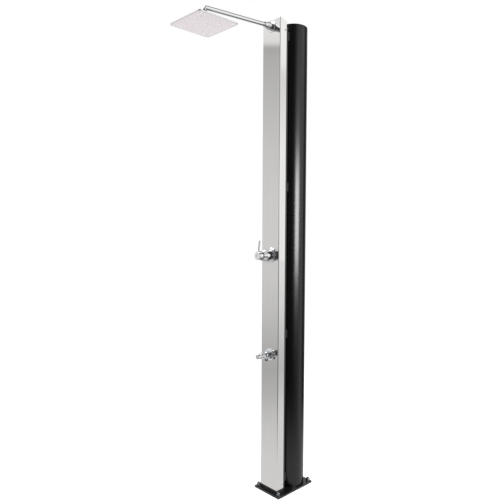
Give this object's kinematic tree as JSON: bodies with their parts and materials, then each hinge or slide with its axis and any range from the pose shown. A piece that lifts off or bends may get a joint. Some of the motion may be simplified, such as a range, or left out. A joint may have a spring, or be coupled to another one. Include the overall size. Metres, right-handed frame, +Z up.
{
  "type": "outdoor shower post",
  "caption": "Outdoor shower post: black tank tube behind a stainless front cover with a square overhead shower on an arm, a lever mixer and a foot-wash tap, on a floor plate.",
  "frame": {"origin": "centre of the floor plate's underside, on the ground", "axes": "+Z up, -Y out of the front cover towards the user, +X to the user's right as they face the post"},
  "size_m": [0.2, 0.725, 2.2],
  "materials": {
    "plate_paint": "black powder coat on steel plate",
    "fastener_steel": "turned stainless steel",
    "foot_plastic": "moulded black plastic",
    "cover_steel": "fine brushed stainless sheet",
    "bracket_steel": "folded stainless sheet",
    "channel_paint": "black powder coat on a rolled channel",
    "black_plastic": "moulded black plastic",
    "tank_plastic": "extruded black plastic tube, semi-gloss",
    "lid_plastic": "moulded black plastic",
    "cast_brass": "cast and turned brass",
    "seal_rubber": "moulded rubber ring",
    "pipe_steel": "drawn stainless pipe",
    "fitting_chrome": "chrome-plated brass",
    "tube_chrome": "chrome-plated bent tube",
    "cartridge_plastic": "moulded light plastic",
    "ring_plastic": "moulded low-friction plastic",
    "head_chrome": "polished steel sheet",
    "nozzle_rubber": "light grey silicone"
  },
  "bodies": {
    "column": {"base_plate": "plate_paint", "anchor_washers": "fastener_steel", "anchor_nuts": "fastener_steel", "tank_screws": "fastener_steel", "foot_screws": "fastener_steel", "front_foot": "foot_plastic", "front_cover": "cover_steel", "cover_brackets": "bracket_steel", "cover_screws": "fastener_steel", "mounting_channel": "channel_paint", "channel_cap": "black_plastic", "tank_saddles": "black_plastic", "channel_screws": "fastener_steel", "tank_tube": "tank_plastic", "tank_base": "black_plastic", "tank_lid": "lid_plastic", "tank_nipples": "cast_brass", "inlet_socket": "cast_brass", "drain_plug": "cast_brass", "drain_seal": "seal_rubber", "cold_pipe_lower": "pipe_steel", "cold_pipe_upper": "pipe_steel", "hot_pipe": "pipe_steel", "riser_pipe": "pipe_steel", "pipe_clips": "black_plastic", "foot_tee": "cast_brass", "mixer_body": "cast_brass", "mixer_locknut": "cast_brass", "mixer_rose": "fitting_chrome", "mixer_sleeve": "fitting_chrome", "sleeve_seal": "seal_rubber", "cartridge_housing": "cartridge_plastic", "cartridge_nut": "cast_brass", "tap_rose": "fitting_chrome", "tap_body": "fitting_chrome", "tap_aerator": "fitting_chrome", "tap_headwork": "cast_brass", "arm_socket": "cast_brass", "arm_rose": "fitting_chrome", "arm_collar": "fitting_chrome", "shower_arm": "tube_chrome", "swivel_ball": "fitting_chrome"},
    "mixer_turret": {"cartridge_turret": "cartridge_plastic", "cartridge_pin": "fastener_steel"},
    "mixer_lever": {"cartridge_stem": "cast_brass", "mixer_handle": "fitting_chrome", "lever_pin": "fitting_chrome", "handle_screw": "fastener_steel"},
    "foot_knob": {"tap_spindle": "cast_brass", "tap_knob": "fitting_chrome"},
    "head_spinner": {"swivel_washer": "ring_plastic"},
    "head_tilter": {"swivel_seat": "ring_plastic"},
    "head": {"swivel_nut": "fitting_chrome", "head_shell": "head_chrome", "head_plate": "head_chrome", "head_nozzles": "nozzle_rubber"}
  },
  "joints": [
    {"name": "mixer_temperature", "type": "hinge", "parent": "column", "child": "mixer_turret", "pos_m": [0, -0.163, 1.126], "axis": [0, 1, 0], "range_deg": [-50, 50]},
    {"name": "mixer_flow", "type": "hinge", "parent": "mixer_turret", "child": "mixer_lever", "pos_m": [0, -0.163, 1.126], "axis": [1, 0, 0], "range_deg": [0, 18]},
    {"name": "foot_tap_turn", "type": "hinge", "parent": "column", "child": "foot_knob", "pos_m": [0, -0.163, 0.661], "axis": [0, 1, 0], "range_deg": [0, 90]},
    {"name": "head_spin", "type": "hinge", "parent": "column", "child": "head_spinner", "pos_m": [0, -0.493, 2.09], "axis": [0, 0, 1], "continuous": true},
    {"name": "head_tilt_x", "type": "hinge", "parent": "head_spinner", "child": "head_tilter", "pos_m": [0, -0.493, 2.09], "axis": [1, 0, 0], "range_deg": [-12, 12]},
    {"name": "head_tilt_y", "type": "hinge", "parent": "head_tilter", "child": "head", "pos_m": [0, -0.493, 2.09], "axis": [0, 1, 0], "range_deg": [-12, 12]}
  ]
}
